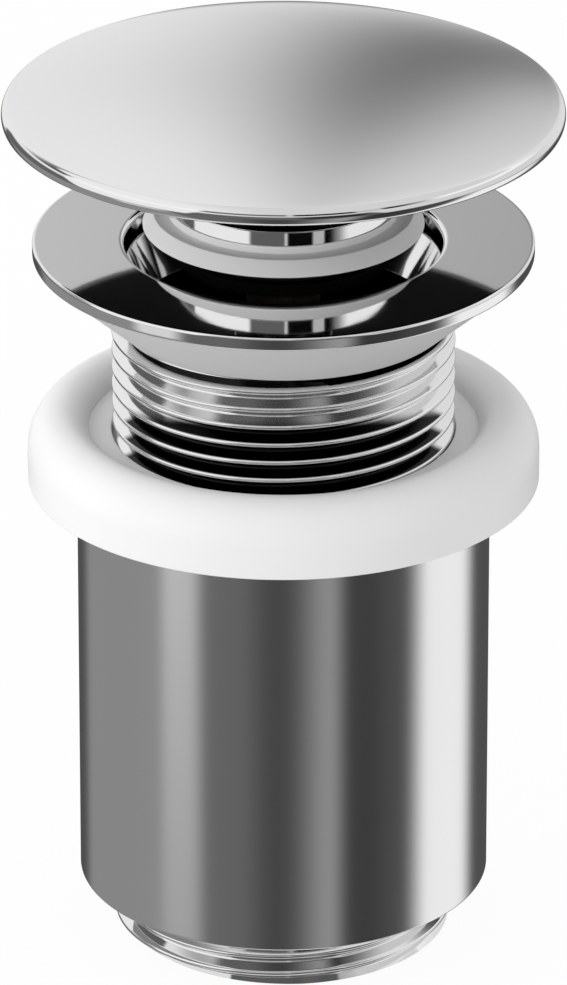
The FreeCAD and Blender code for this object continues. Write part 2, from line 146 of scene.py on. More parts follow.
STACK_BORE_GAP = 0.06 * MM
GASKET_CREST_RADIUS = 26.9 * MM
GASKET_LAND_RADIUS = 23.9 * MM
GASKET_LAND_HEIGHT = 6.4 * MM
GASKET_ROUNDING = 0.2 * MM
SLEEVE_WALL = 2.3 * MM
SLEEVE_ROUNDING = 0.3 * MM
CUP_ROUNDING = 2.0 * MM
SOCKET_SLACK = 0.05 * MM
SOCKET_LENGTH = 10.0 * MM
SOCKET_ROUNDING = 0.5 * MM
OUTLET_LENGTH = 7.14 * MM
OUTLET_WALL = 2.175 * MM
OUTLET_BORE_LENGTH = 9.6 * MM
OUTLET_UNDERCUT = 0.75 * MM
OUTLET_CHAMFER = 0.65 * MM
OUTLET_RUNOUT_SLOPE = 2.0

# Finishes. A pattern is features to the metre, detail, roughness and, for some, the stretch along
# X, Y and Z. Shades are what it makes of the colour where it is darkest and lightest. A blur is
# what is left of the roughness, then what each pattern adds. A grain is how deep a pattern is.

PLATE_PATCHES = (45.0, 4.0, 0.6)
PLATE_WAVES = (2600.0, 2.0, 0.5)
PLATE_SHADES = (0.985, 1.01)
PLATE_BLUR = (0.8, 0.25, 0.15)
PLATE_GRAIN = 0.0006 * MM
TUBE_PATCHES = (30.0, 4.0, 0.6)
TUBE_RINGS = (900.0, 3.0, 0.6, (0.02, 0.02, 6.0))
TUBE_SHADES = (0.98, 1.01)
TUBE_BLUR = (0.9, 0.12, 0.1)
TUBE_GRAIN = 0.0008 * MM
RUBBER_CLOUD = (60.0, 4.0, 0.55)
RUBBER_SKIN = (3800.0, 3.0, 0.6)
RUBBER_SHADES = (0.975, 1.02)
RUBBER_BLUR = (0.9, 0.2)
WHITE_RUBBER_ROUGHNESS = 0.42
WHITE_RUBBER_GRAIN = 0.006 * MM
PLASTIC_CLOUD = (90.0, 3.0, 0.5)
PLASTIC_SKIN = (2200.0, 4.0, 0.65)
PLASTIC_SHADES = (0.94, 1.06)
PLASTIC_BLUR = (0.85, 0.3)
METAL_TARNISH = (120.0, 5.0, 0.6)
METAL_RINGS = (900.0, 3.0, 0.6, (0.03, 0.03, 5.0))
METAL_SHADES = (0.82, 1.08)
METAL_BLUR = (0.75, 0.35, 0.2)
METAL_GRAIN = 0.004 * MM
FIBRE_FLECKS = (1500.0, 5.0, 0.7, (1.0, 1.0, 3.0))
FIBRE_SHADES = (0.6, 1.5)
FIBRE_BLUR = (0.7, 0.2)
FIBRE_GRAIN = 0.02 * MM
FLOOR_CLOUD = (3.0, 2.0, 0.5)
FLOOR_SHADES = (0.995, 1.005)

# Stretches that differ from the rest of their piece

# How light the chrome is where shade and a dark reflection are painted on it
PAINTED_SHADE_LIGHT = 0.02
# Painted shade under the seal ring's lip: how light it is, and the levels where it fades in
LIP_SHADE_LIGHT = 0.012
LIP_SHADE_LEVEL = (0.02 * MM, -0.06 * MM)
THREAD_BLUR = 0.06
OUTLET_ROUGHNESS = 0.05
TUBE_EDGE = 0.1 * MM

# Where the plate is painted black: painted shade where hardly any light gets there, and a painted
# dark reflection on the lower turns. Pairs go from where a mask starts to where it is full. Radii are
# from the thread's crest, but the bore's is from the axis, and levels are from the thread's top. The
# painted dark reflection of the lower turns climbs towards the front.

SHADE_EDGE = 0.05 * MM
SHADE_END = 0.02 * MM
SHADE_MARGIN = 0.1 * MM
BOSS_SHADE_STEP = 0.2 * MM
COLLAR_SHADE_DEPTH = 0.03 * MM
OUTSIDE = (-3.0 * MM, -2.5 * MM)
THREAD_VALLEY = (-0.1 * MM, -0.25 * MM)
THREAD_LEVEL = (0.2 * MM, 0.0)
BORE_REACH = (18.0 * MM, 17.8 * MM)
BORE_LEVEL = (-2.0 * MM, -3.0 * MM)
GROOVE_LEVEL = (-0.1 * MM, 0.05 * MM, 0.8 * MM, 0.9 * MM)
LOWER_TURNS = (-10.7 * MM, -12.1 * MM)
LOWER_TURNS_TILT = 0.3
LOWER_TURNS_FRONT = (-7.0 * MM, -8.6 * MM)

# What the chrome sees round it. Each panel is how light it looks, then the bearings in degrees
# where it fades in and where it fades out, from the front and positive to the right. The other
# pairs are levels in degrees, from the horizon up, unless their names say otherwise.

SCREEN_GAMMA = 2.2
WALL_BELOW = 0.38
PANELS_BELOW = (
    (0.52, -150.0, -138.0, -50.0, -42.0),
    (0.265, -26.0, -4.0, 66.0, 84.0),
    (0.56, -2.0, 27.0, 26.0, 39.0),
    (0.22, 33.0, 40.0, 50.0, 62.0),
    (0.92, 71.0, 90.0, 118.0, 139.0),
    (0.29, -181.0, -180.0, -158.0, -142.0),
    (0.29, 128.0, 142.0, 180.0, 181.0),
)
STRIP_BELOW = (0.85, -76.0, -67.0, -54.0, -45.0)
STRIP_LEVEL = (-28.7, -22.0)
STREAK_BELOW = (0.17, 4.0, 12.0, 28.0, 37.0)
STREAK_LEVEL = (-18.0, -9.0)
WALL_LEVEL = (-22.0, -12.0)
WALL_ABOVE = 0.37
PANELS_ABOVE = (
    (0.95, -103.0, -98.0, -36.0, -31.0),
    (0.05, 3.0, 7.0, 44.0, 54.0),
    (0.75, 0.0, 2.0, 3.0, 5.0),
    (0.70, 27.0, 31.0, 40.0, 43.0),
    (0.94, 48.0, 70.0, 140.0, 160.0),
)
PANELS_LEVEL = (16.0, 20.0)
FLOOR_LIGHT = 0.88
FLOOR_LEVEL = (-58.0, -74.0)
CEILING_LEFT = 0.91
CEILING_RIGHT = 0.81
CEILING_ACROSS = (0.0, -0.55)
CEILING_LEVEL = (28.0, 33.0)

# The wall behind, which reaches higher than the panels. It starts by bearings from the front, and
# the other bearings here are from straight behind. A shade is how much darker, its bearing and
# level, and its reach across and upwards, in degrees.

BACK_LEFT = 0.90
BACK_RIGHT = 0.85
BACK_BEARING = (-40.0, 40.0)
BACK_START = (112.0, 138.0)
BACK_RISE = 40.0
SHADES = (
    (0.23, 6.7, 37.0, 13.9, 25.0),
    (0.34, 8.2, 4.6, 7.2, 29.0),
)

# Level where the studio below gives way to the one above, and the bearings where that is lower

CHANGE_LEVEL = (2.0, 12.0)
CHANGE_DROP = 22.0
LOW_LEFT = (-98.0, -88.0, -40.0, -33.0)
LOW_RIGHT = (33.0, 42.0)
LOW_BACK = (-138.0, -150.0)

# Lamps, floor and camera

LAMPS = (
    ("key_lamp", "key_power", (-0.75, -0.55, 0.40)),
    ("side_lamp", "side_power", (-0.7, 0.4, 0.5)),
)
LAMP_WIDTH = 0.6
FLOOR_RADIUS = 1.4
FLOOR_SIDES = 96
FLOOR_DROP = 0.05 * MM
FLOOR_WHITE = 0.95
FILM_WIDTH = 36.0
CLIP_START = 0.05
CLIP_END = 20.0

WHITE = (1.0, 1.0, 1.0, 1.0)

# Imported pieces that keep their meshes, by finish

CORE_FINISHES = {
    "brass": ("cartridge_barrel", "barrel_lock_nut", "spring_end_plug"),
    "steel": ("plunger_stem", "bush_clip", "return_spring", "follower_pin"),
    "blackened": ("stem_lock_nut",),
    "acetal": ("guide_bush", "index_sleeve", "thrust_washer", "slip_washer"),
    "moulding": ("cap_backing", "cartridge_carrier", "seal_retainer"),
    "black_rubber": ("stem_ring",),
    "fibre": ("joint_washer",),
}


class WasteSizes(bpy.types.PropertyGroup):
    """Sizes of the turned pieces that a user would change."""

    thread_pitch: FloatProperty(
        name="Thread pitch",
        description="How far the sleeve climbs the tail in one turn",
        default=2.309 * MM,
        min=0.5 * MM,
        unit="LENGTH",
        precision=4,
    )
    cap_wall: FloatProperty(
        name="Cap wall",
        description="Thickness of the domed cap",
        default=1.4 * MM,
        min=0.5 * MM,
        unit="LENGTH",
        precision=4,
    )
    gasket_wall: FloatProperty(
        name="Gasket wall",
        description="Height of the gasket's straight outer wall",
        default=3.8 * MM,
        min=0.5 * MM,
        unit="LENGTH",
        precision=4,
    )
    columns: IntProperty(
        name="Columns",
        description="How many faces go round each turned piece",
        default=256,
        min=48,
        max=1024,
    )


class WasteFinishes(bpy.types.PropertyGroup):
    """Colours and gloss of the finishes."""

    chrome_colour: FloatVectorProperty(
        name="Chrome",
        description="Colour of the chrome plate",
        default=(0.88, 0.88, 0.88),
        min=0.0,
        max=1.0,
        subtype="COLOR",
    )
    chrome_roughness: FloatProperty(
        name="Polished roughness",
        description="How much the polished chrome blurs what it reflects",
        default=0.045,
        min=0.0,
        max=1.0,
        subtype="FACTOR",
    )
    sleeve_roughness: FloatProperty(
        name="Sleeve roughness",
        description="How much the sleeve blurs what it reflects",
        default=0.17,
        min=0.0,
        max=1.0,
        subtype="FACTOR",
    )
    white_rubber: FloatVectorProperty(
        name="White rubber",
        description="Colour of the gasket and of the plug's seal ring",
        default=(0.9, 0.9, 0.9),
        min=0.0,
        max=1.0,
        subtype="COLOR",
    )
    grey_rubber: FloatVectorProperty(
        name="Grey rubber",
        description="Colour of the cone seal under the flange",
        default=(0.6, 0.6, 0.6),
        min=0.0,
        max=1.0,
        subtype="COLOR",
    )
    black_rubber: FloatVectorProperty(
        name="Black rubber",
        description="Colour of the ring round the stem",
        default=(0.03, 0.03, 0.03),
        min=0.0,
        max=1.0,
        subtype="COLOR",
    )
    moulding_colour: FloatVectorProperty(
        name="Dark moulding",
        description="Colour of the cap's backing, the carrier, the seal's retainer and the stem's nut",
        default=(0.003, 0.003, 0.003),
        min=0.0,
        max=1.0,
        subtype="COLOR",
    )
    acetal_colour: FloatVectorProperty(
        name="Acetal",
        description="Colour of the bush, the washers and the index sleeve",
        default=(0.86, 0.86, 0.83),
        min=0.0,
        max=1.0,
        subtype="COLOR",
    )
    brass_colour: FloatVectorProperty(
        name="Brass",
        description="Colour of the turned brass inside",
        default=(0.78, 0.58, 0.28),
        min=0.0,
        max=1.0,
        subtype="COLOR",
    )
    steel_colour: FloatVectorProperty(
        name="Steel",
        description="Colour of the stem, the spring, the clip and the pin",
        default=(0.62, 0.62, 0.61),
        min=0.0,
        max=1.0,
        subtype="COLOR",
    )
    fibre_colour: FloatVectorProperty(
        name="Fibre",
        description="Colour of the pressed joint washer",
        default=(0.34, 0.08, 0.05),
        min=0.0,
        max=1.0,
        subtype="COLOR",
    )


class WasteStudio(bpy.types.PropertyGroup):
    """Camera, lamps and floor."""

    lens: FloatProperty(
        name="Lens",
        description="Focal length, for a film 36 mm long",
        default=344.3,
        min=20.0,
        subtype="DISTANCE_CAMERA",
    )
    distance: FloatProperty(
        name="Camera distance",
        description="From the camera to the point that it looks at",
        default=1.1564,
        min=0.2,
        unit="LENGTH",
    )
    elevation: FloatProperty(
        name="Camera elevation",
        description="How far above the level the camera stands",
        default=math.radians(24.38),
        subtype="ANGLE",
    )
    aim_height: FloatProperty(
        name="Aim height",
        description="Height of the point that the camera looks at",
        default=57.37 * MM,
        unit="LENGTH",
        precision=4,
    )
    daylight: FloatProperty(
        name="Surrounding light",
        description="How brightly the room lights rubber and plastic",
        default=0.74,
        min=0.0,
    )
    key_power: FloatProperty(
        name="Key lamp",
        description="Power of the large lamp at the front left",
        default=2.7,
        min=0.0,
        unit="POWER",
    )
    side_power: FloatProperty(
        name="Side lamp",
        description="Power of the large lamp at the back left",
        default=1.4,
        min=0.0,
        unit="POWER",
    )
    floor_colour: FloatVectorProperty(
        name="Floor",
        description="Colour of the pale floor",
        default=(0.93, 0.93, 0.93),
        min=0.0,
        max=1.0,
        subtype="COLOR",
    )


def sizes():
    return bpy.context.scene.waste_sizes


def finishes():
    return bpy.context.scene.waste_finishes


def studio():
    return bpy.context.scene.waste_studio


# Half sections and the meshes turned from them


class Section:
    """A half section, r out from the axis and z up, drawn from corner to corner.

    A corner between two straight stretches can be rounded.
    """

    def __init__(self, r, z, rounding=0.0):
        self.steps = [(Vector((r, z)), rounding, False)]

    def line(self, r, z, rounding=0.0):
        self.steps.append((Vector((r, z)), rounding, False))
        return self

    def curve(self, places):
        """Points that lie close together on one curve."""
        for r, z in places:
            self.steps.append((Vector((r, z)), 0.0, True))
        return self

    def swell(self, r, z, corner):
        """A quarter ellipse that bulges towards the square corner named."""
        start = self.steps[-1][0]
        end = Vector((r, z))
        middle = start + end - Vector(corner)
        turns = [0.25 * TURN * (i + 1) / SWELL_STEPS for i in range(SWELL_STEPS)]
        return self.curve([
            middle + (start - middle) * math.cos(a) + (end - middle) * math.sin(a) for a in turns
        ])

    def corner(self, i):
        """Corner i's points: one, or its rounding drawn as a short arc."""
        here, rounding, _ = self.steps[i]
        if rounding <= 0.0:
            return [here]
        back = self.steps[i - 1][0] - here
        ahead = self.steps[(i + 1) % len(self.steps)][0] - here
        half = back.angle(ahead) / 2.0
        longest = ROUND_SHARE * min(back.length, ahead.length)
        trim = min(rounding / math.tan(half), longest)
        radius = trim * math.tan(half)
        inward = (back.normalized() + ahead.normalized()).normalized()
        middle = here + inward * (radius / math.sin(half))
        first = (here + back.normalized() * trim - middle).normalized()
        last = (here + ahead.normalized() * trim - middle).normalized()
        count = max(2, math.ceil((math.pi - 2.0 * half) / ROUND_STEP))
        return [middle + radius * first.slerp(last, k / count) for k in range(count + 1)]

    def points(self):
        """The whole outline, with a point close to each end of every long straight stretch."""
        corners = [self.corner(i) for i in range(len(self.steps))]
        outline = []
        for i, arc in enumerate(corners):
            run = arc[0] - corners[i - 1][-1]
            if i > 0 and not self.steps[i][2] and run.length > LONG_RUN:
                nudge = run.normalized() * SUPPORT_GAP
                outline += [corners[i - 1][-1] + nudge, arc[0] - nudge]
            outline += arc
        return [tuple(point) for point in outline]


def turned(name, outline, thread=None, closed=True):
    """A mesh turned about Z from an outline.

    thread gives the points that end the outline at a bearing, in radians. An outline that isn't
    closed starts and ends on the axis.
    """
    columns = sizes().columns
    shape = bmesh.new()
    rows = []
    for j in range(columns + 1):
        a = TURN * j / columns
        across = math.cos(a)
        along = math.sin(a)
        points = outline + thread(a) if thread else outline
        rows.append([shape.verts.new((r * across, r * along, z)) for r, z in points])
    for row, following in zip(rows, rows[1:]):
        for k in range(len(row) if closed else len(row) - 1):
            m = (k + 1) % len(row)
            shape.faces.new((row[k], following[k], following[m], row[m]))
    return finished_mesh(name, shape)


def finished_mesh(name, shape):
    """Welds and smooths the mesh, keeps its sharp edges sharp, and makes it an object."""
    bmesh.ops.remove_doubles(shape, verts=shape.verts, dist=WELD_GAP)
    bmesh.ops.recalc_face_normals(shape, faces=shape.faces)
    for face in shape.faces:
        face.smooth = True
    for edge in shape.edges:
        edge.smooth = edge.calc_face_angle(0.0) < SHARP_ANGLE
    return linked_object(name, shape)


def linked_object(name, shape):
    """Puts a finished shape into the scene as an object."""
    mesh = bpy.data.meshes.new(name)
    shape.to_mesh(mesh)
    shape.free()
    made = bpy.data.objects.new(name, mesh)
    bpy.context.scene.collection.objects.link(made)
    return made


def thread_drop(place):
    """Depth below the crest at a place along the axis, both in pitches."""
    u = abs(place - round(place))
    if u < CREST_END:
        return THREAD_ROUND - math.sqrt(THREAD_ROUND ** 2 - u ** 2)
    if u > 0.5 - CREST_END:
        return THREAD_DEPTH - THREAD_ROUND + math.sqrt(THREAD_ROUND ** 2 - (0.5 - u) ** 2)
    return CREST_DROP + (u - CREST_END) * math.tan(ROUND_REACH)


def thread_steps():
    """Where the outline's points stand in one pitch: round the crest, then round the root."""
    reach = [ROUND_REACH * (2.0 * i / (ROUND_SAMPLES - 1) - 1.0) for i in range(ROUND_SAMPLES)]
    crest = [THREAD_ROUND * math.sin(a) for a in reach]
    return crest + [0.5 + u for u in crest]


def thread_points(a, bottom, top, limit):
    """A right-hand thread's outline at bearing a, from top to bottom, kept within limit(z)."""
    pitch = sizes().thread_pitch
    climb = a / TURN
    turns = range(math.ceil((top - bottom) / pitch), -2, -1)
    outline = []
    for place in (n + u for n in turns for u in reversed(thread_steps())):
        z = min(max(bottom + (place + climb) * pitch, bottom), top)
        drop = thread_drop((z - bottom) / pitch - climb) * pitch
        outline.append((min(THREAD_CREST - drop, limit(z)), z))
    return outline


# Shader maths


class Value:
    """A socket that stands in a Python expression: each operator adds its Math node."""

    def __init__(self, shader, socket):
        self.shader = shader
        self.socket = socket

    def maths(self, operation, *values):
        return self.shader.node("ShaderNodeMath", {"operation": operation}, dict(enumerate(values)))

    def __add__(self, other):
        return self.maths("ADD", self, other)

    __radd__ = __add__

    def __sub__(self, other):
        return self.maths("SUBTRACT", self, other)

    def __rsub__(self, other):
        return self.maths("SUBTRACT", other, self)

    def __mul__(self, other):
        return self.maths("MULTIPLY", self, other)

    __rmul__ = __mul__

    def __truediv__(self, other):
        return self.maths("DIVIDE", self, other)

    def __rtruediv__(self, other):
        return self.maths("DIVIDE", other, self)

    def __pow__(self, power):
        return self.maths("POWER", self, power)

    def __abs__(self):
        return self.maths("ABSOLUTE", self)

    def __neg__(self):
        return self.maths("MULTIPLY", self, -1.0)

    def exp(self):
        return self.maths("EXPONENT", self)

    def degrees_from(self, other):
        """The angle of the point (other, self), in degrees."""
        return self.maths("ARCTAN2", self, other) * math.degrees(1.0)


class Shader:
    """The nodes of one material or world."""

    def __init__(self, owner):
        owner.use_nodes = True
        self.owner = owner
        self.tree = owner.node_tree
        self.tree.nodes.clear()

    def node(self, kind, settings=None, sockets=None, outlet=0):
        """Adds a node: first its settings, then its sockets' values or links."""
        made = self.tree.nodes.new(kind)
        for name, value in (settings or {}).items():
            setattr(made, name, value)
        for name, value in (sockets or {}).items():
            if isinstance(value, Value):
                self.tree.links.new(value.socket, made.inputs[name])
            else:
                made.inputs[name].default_value = value
        return Value(self, made.outputs[outlet]) if len(made.outputs) else None

    def axes(self, kind):
        """X, Y and Z of one kind of texture coordinate."""
        spot = self.node("ShaderNodeTexCoord", outlet=kind)
        return [self.node("ShaderNodeSeparateXYZ", None, {0: spot}, axis) for axis in range(3)]

    def fade(self, value, start, end):
        """0 at start and 1 at end, with soft ends."""
        sockets = {"Value": value, "From Min": start, "From Max": end}
        return self.node("ShaderNodeMapRange", {"interpolation_type": "SMOOTHSTEP"}, sockets)

    def band(self, value, rise, full, full_end, end):
        """1 between two places and 0 beyond them, with soft sides."""
        return self.fade(value, rise, full) * self.fade(value, end, full_end)

    def noise(self, scale, detail, roughness, stretch=(1.0, 1.0, 1.0)):
        """Noise from 0 to 1 that is fixed to the piece, scale features to the metre."""
        spot = self.node("ShaderNodeTexCoord", outlet="Object")
        spot = self.node("ShaderNodeVectorMath", {"operation": "MULTIPLY"}, {0: spot, 1: stretch})
        sockets = {"Vector": spot, "Scale": scale, "Detail": detail, "Roughness": roughness}
        return self.node("ShaderNodeTexNoise", None, sockets)

    def blend(self, mask, first, second):
        """A colour from first to second as the mask goes from 0 to 1."""
        sockets = {0: mask, 6: first, 7: second}
        return self.node("ShaderNodeMix", {"data_type": "RGBA"}, sockets, 2)

    def mottle(self, mask, colour, darker, lighter):
        """A colour that goes from darker to lighter with the mask, both as shares of it."""
        return self.blend(mask, solid(colour, darker), solid(colour, lighter))

    def bump(self, height, depth):
        """Normals for a height from 0 to 1 that stands for depth metres."""
        return self.node("ShaderNodeBump", None, {"Height": height, "Distance": depth})

    def surface(self, sockets):
        """Ends a material with its surface, and gives the material back."""
        surface = self.node("ShaderNodeBsdfPrincipled", None, sockets)
        self.node("ShaderNodeOutputMaterial", None, {"Surface": surface})
        return self.owner

    def ray(self, kind):
        """1 for the rays of one kind and 0 for the rest."""
        return self.node("ShaderNodeLightPath", outlet=kind)

    def mix_shaders(self, share, first, second):
        return self.node("ShaderNodeMixShader", None, {0: share, 1: first, 2: second})


def new_finish(name):
    """The empty shader of a new material."""
    return Shader(bpy.data.materials.new(name))


def solid(colour, light):
    """A colour for a socket, made lighter or darker."""
    return tuple(min(1.0, c * light) for c in colour) + (1.0,)


def between(first, second, share):
    """From first to second as the share goes from 0 to 1."""
    return first + (second - first) * share


def weighted(weights, *masks):
    """The first weight, and each mask times its own weight."""
    total, *rest = weights
    for weight, mask in zip(rest, masks):
        total = total + weight * mask
    return total


def from_base(base, steps):
    """The places that lie the steps away from a base."""
    return [base + step for step in steps]


# Finishes


def plate(shader, black, blur=0.0):
    """Bright plate with faint waviness and wiped patches, painted black where the mask is 1: painted
    shade and painted dark reflection.
    """
    colour = finishes().chrome_colour
    patches = shader.noise(*PLATE_PATCHES)
    waves = shader.noise(*PLATE_WAVES)
    bright = shader.mottle(patches, colour, *PLATE_SHADES)
    roughness = finishes().chrome_roughness * weighted(PLATE_BLUR, patches, waves)
    return shader.surface({
        # Painted shade and painted dark reflection: the plate turns black where the mask is 1
        "Base Color": shader.blend(black, bright, solid(colour, PAINTED_SHADE_LIGHT)),
        "Metallic": 1.0,
        "Roughness": roughness + blur,
        "Normal": shader.bump(waves, PLATE_GRAIN),
    })


def polished_chrome(name, reach, low, high):
    """Plate with painted shade: black inside the radius of reach between two heights."""
    shader = new_finish(name)
    x, y, z = shader.axes("Object")
    inside = shader.fade((x * x + y * y) ** 0.5, reach, reach - SHADE_EDGE)
    return plate(shader, inside * shader.band(z, low, low + SHADE_END, high - SHADE_END, high))


def screwed_chrome(name, top):
    """Plate with painted shade in the bore and the groove above the thread, and a painted dark
    reflection in the valleys of its lower turns.
    """
    shader = new_finish(name)
    x, y, z = shader.axes("Object")
    out = (x * x + y * y) ** 0.5
    outside = shader.fade(out, *from_base(THREAD_CREST, OUTSIDE))
    valley = shader.fade(out, *from_base(THREAD_CREST, THREAD_VALLEY))
    screwed = outside * shader.fade(z, *from_base(top, THREAD_LEVEL))
    bore = shader.fade(out, *BORE_REACH) * shader.fade(z, *from_base(top, BORE_LEVEL))
    groove = bore + outside * shader.band(z, *from_base(top, GROOVE_LEVEL))
    # Painted dark reflection in the valleys of the lower turns, reaching higher towards the front
    lower = shader.fade(z + LOWER_TURNS_TILT * y, *from_base(top, LOWER_TURNS))
    lower = lower * shader.fade(y, *LOWER_TURNS_FRONT)
    black = groove + (1.0 - groove) * screwed * lower * valley
    return plate(shader, black, THREAD_BLUR * screwed)


def drawn_chrome(name):
    """Plate over a turned tube, whose fine rings soften what it reflects, and a sharper outlet."""
    shader = new_finish(name)
    patches = shader.noise(*TUBE_PATCHES)
    rings = shader.noise(*TUBE_RINGS)
    height = shader.axes("Object")[2]
    tube = shader.fade(height, OUTLET_LENGTH - TUBE_EDGE, OUTLET_LENGTH + TUBE_EDGE)
    roughness = between(OUTLET_ROUGHNESS, finishes().sleeve_roughness, tube)
    return shader.surface({
        "Base Color": shader.mottle(patches, finishes().chrome_colour, *TUBE_SHADES),
        "Metallic": 1.0,
        "Roughness": roughness * weighted(TUBE_BLUR, patches, rings),
        "Normal": shader.bump(rings, TUBE_GRAIN),
    })


def rubber(name, colour, roughness, grain, shine=0.4, joint=None):
    """Moulded rubber: a fine satin skin with slight unevenness, and, where a level is given, painted
    shade that makes it black below that level.
    """
    shader = new_finish(name)
    cloud = shader.noise(*RUBBER_CLOUD)
    skin = shader.noise(*RUBBER_SKIN)
    shown = shader.mottle(cloud, colour, *RUBBER_SHADES)
    # Painted shade: black below the given level
    if joint is not None:
        under = shader.fade(shader.axes("Object")[2], *from_base(joint, LIP_SHADE_LEVEL))
        shown = shader.blend(under, shown, solid(colour, LIP_SHADE_LIGHT))
    return shader.surface({
        "Base Color": shown,
        "Roughness": roughness * weighted(RUBBER_BLUR, skin),
        "Specular IOR Level": shine,
        "Normal": shader.bump(skin, grain),
    })


def moulded_plastic(name, colour, roughness, grain, shine=0.5):
    """Moulded plastic: slight clouds of colour under a fine skin."""
    shader = new_finish(name)
    cloud = shader.noise(*PLASTIC_CLOUD)
    skin = shader.noise(*PLASTIC_SKIN)
    return shader.surface({
        "Base Color": shader.mottle(cloud, colour, *PLASTIC_SHADES),
        "Roughness": roughness * weighted(PLASTIC_BLUR, skin),
        "Specular IOR Level": shine,
        "Normal": shader.bump(skin, grain),
    })


def turned_metal(name, colour, roughness):
    """Bare turned metal: tool rings round the axis and slight tarnish."""
    shader = new_finish(name)
    tarnish = shader.noise(*METAL_TARNISH)
    rings = shader.noise(*METAL_RINGS)
    return shader.surface({
        "Base Color": shader.mottle(tarnish, colour, *METAL_SHADES),
        "Metallic": 1.0,
        "Roughness": roughness * weighted(METAL_BLUR, tarnish, rings),
        "Normal": shader.bump(rings, METAL_GRAIN),
    })


def pressed_fibre(name, colour):
    """Pressed fibre: coarse flecks that lie flat."""
    shader = new_finish(name)
    flecks = shader.noise(*FIBRE_FLECKS)
    return shader.surface({
        "Base Color": shader.mottle(flecks, colour, *FIBRE_SHADES),
        "Roughness": weighted(FIBRE_BLUR, flecks),
        "Normal": shader.bump(flecks, FIBRE_GRAIN),
    })


def dress(material, nodes):
    """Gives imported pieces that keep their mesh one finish."""
    for node in nodes:
        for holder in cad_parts[node].material_slots:
            holder.material = material


def stand_in(piece, material, body, node):
    """Finishes a new piece that stands for a packed one."""
    piece.data.materials.append(material)
    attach(piece, body)
    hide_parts(node)


# The pieces


class WASTE_OT_cap(bpy.types.Operator):
    """Makes the domed cap with its full rounded rim and the screwed boss inside"""

    bl_idname = "waste.cap"
    bl_label = "Cap"

    def execute(self, context):
        radius = radius_of("cap_dome")
        apex = top_of("cap_dome")
        boss_end = base_of("cap_dome")
        wall = sizes().cap_wall
        inner = radius - wall
        foot = base_of("cap_backing") - BACKING_RECESS
        rise = apex - (foot + DOME_EDGE_RISE)
        crown = ((radius - DOME_EDGE_STEP) ** 2 + rise ** 2) / (2.0 * rise)

        def dome(r, drop=0.0):
            return apex - crown + math.sqrt((crown - drop) ** 2 - r ** 2)

        middle = radius - CAP_ROUNDING
        widest = dome(middle, CAP_ROUNDING)
        reach = math.acos(middle / (crown - CAP_ROUNDING))
        edge = middle + CAP_ROUNDING * math.cos(reach)
        turns = [reach * (i + 1) / SWELL_STEPS for i in range(SWELL_STEPS)]
        over = [edge * (1.0 - (i + 1) / DOME_STEPS) for i in range(DOME_STEPS)]
        under = [inner + (BOSS_RADIUS - inner) * i / DOME_STEPS for i in range(DOME_STEPS + 1)]

        thread_top = top_of("plunger_stem") + STEM_TOP_GAP
        section = Section(0.0, thread_top).line(BOSS_BORE, thread_top).line(BOSS_BORE, boss_end)
        section.line(BOSS_RADIUS, boss_end, BOSS_ROUNDING)
        section.curve([(r, dome(r, wall)) for r in reversed(under)])
        section.line(inner, foot).line(radius - CAP_FOOT_STEP, foot)
        section.swell(radius, widest, (radius, foot))
        section.curve([
            (middle + CAP_ROUNDING * math.cos(a), widest + CAP_ROUNDING * math.sin(a))
            for a in turns
        ])
        section.curve([(r, dome(r)) for r in over])
        piece = turned("cap", section.points(), closed=False)
        # Painted shade: the plate is black round the boss under the dome
        painted_shade_zone = (BOSS_RADIUS + BOSS_SHADE_STEP, boss_end - SHADE_MARGIN, apex - 2.0 * wall)
        stand_in(piece, polished_chrome("cap_chrome", *painted_shade_zone), "plug", "cap_dome")
        return {"FINISHED"}


class WASTE_OT_collar(bpy.types.Operator):
    """Makes the bright collar under the cap and the spigot that centres the seal ring"""

    bl_idname = "waste.collar"
    bl_label = "Collar"

    def execute(self, context):
        radius = radius_of("plug_collar")
        top = top_of("plug_collar")
        low = top - COLLAR_HEIGHT
        spigot_end = base_of("plug_collar")
        section = Section(BOSS_BORE, spigot_end).line(COLLAR_SPIGOT, spigot_end)
        section.line(COLLAR_SPIGOT, low).line(radius, low, COLLAR_ROUNDING)
        section.line(radius, top, COLLAR_ROUNDING).line(BOSS_BORE, top)
        piece = turned("collar", section.points())
        # Painted shade: the collar's top face under the cap is black
        painted_shade_zone = (radius - COLLAR_ROUNDING, top - COLLAR_SHADE_DEPTH, top + SHADE_MARGIN)
        material = polished_chrome("collar_chrome", *painted_shade_zone)
        stand_in(piece, material, "plug", "plug_collar")
        return {"FINISHED"}


class WASTE_OT_seal_ring(bpy.types.Operator):
    """Makes the white ring whose sharp lip closes the bore"""

    bl_idname = "waste.seal_ring"
    bl_label = "Seal ring"

    def execute(self, context):
        lip = radius_of("plug_seal_ring")
        low = base_of("plug_seal_ring")
        top = top_of("plug_seal_ring")
        edge = top - SEAL_EDGE_DROP
        shoulder = top - SEAL_SHOULDER_DROP
        hub = lip - SEAL_HUB_STEP
        base = lip - SEAL_BASE_STEP
        section = Section(COLLAR_SPIGOT, low).line(base, low, SEAL_BASE_ROUNDING)
        section.line(base, top - SEAL_ROOT_DROP, SEAL_ROOT_ROUNDING)
        section.line(lip, edge, SEAL_EDGE_ROUNDING)
        section.line(lip - SEAL_SHOULDER_STEP, shoulder, SEAL_EDGE_ROUNDING)
        section.line(hub, shoulder, SEAL_HUB_ROUNDING)
        section.line(hub, top).line(COLLAR_SPIGOT, top)
        piece = turned("seal_ring", section.points())
        # White rubber with painted shade, black under the lip
        material = rubber(
            "two_shot_rubber",
            finishes().white_rubber,
            WHITE_RUBBER_ROUGHNESS,
            WHITE_RUBBER_GRAIN,
            shine=0.3,
            joint=edge - SEAL_SHADE_GAP,
        )
        stand_in(piece, material, "plug", "plug_seal_ring")
        return {"FINISHED"}


